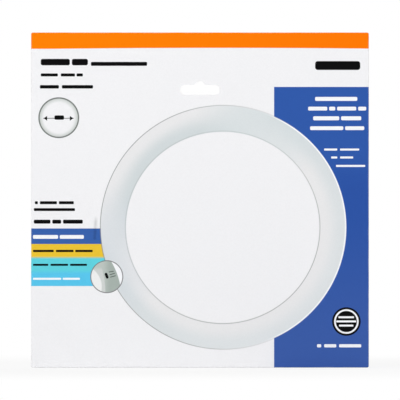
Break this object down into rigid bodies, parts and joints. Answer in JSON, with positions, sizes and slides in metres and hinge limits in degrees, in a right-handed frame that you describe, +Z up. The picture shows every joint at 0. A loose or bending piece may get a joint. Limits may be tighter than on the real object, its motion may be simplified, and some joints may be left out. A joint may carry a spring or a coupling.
{
  "type": "sealed retail carton",
  "caption": "Flat, nearly square folding carton for a ring lamp, glued shut at its ends, with a peaked hang slot through the front and back panels near the top.",
  "frame": {"origin": "middle of the lower end, on the surface that the carton stands on", "axes": "+Z up, +Y from the front panel to the back panel, +X to the right as one faces the front panel"},
  "size_m": [0.324, 0.036, 0.3215],
  "materials": {
    "coated_board": "satin"
  },
  "bodies": {
    "root": {"sealed_carton": "coated_board"}
  },
  "joints": []
}
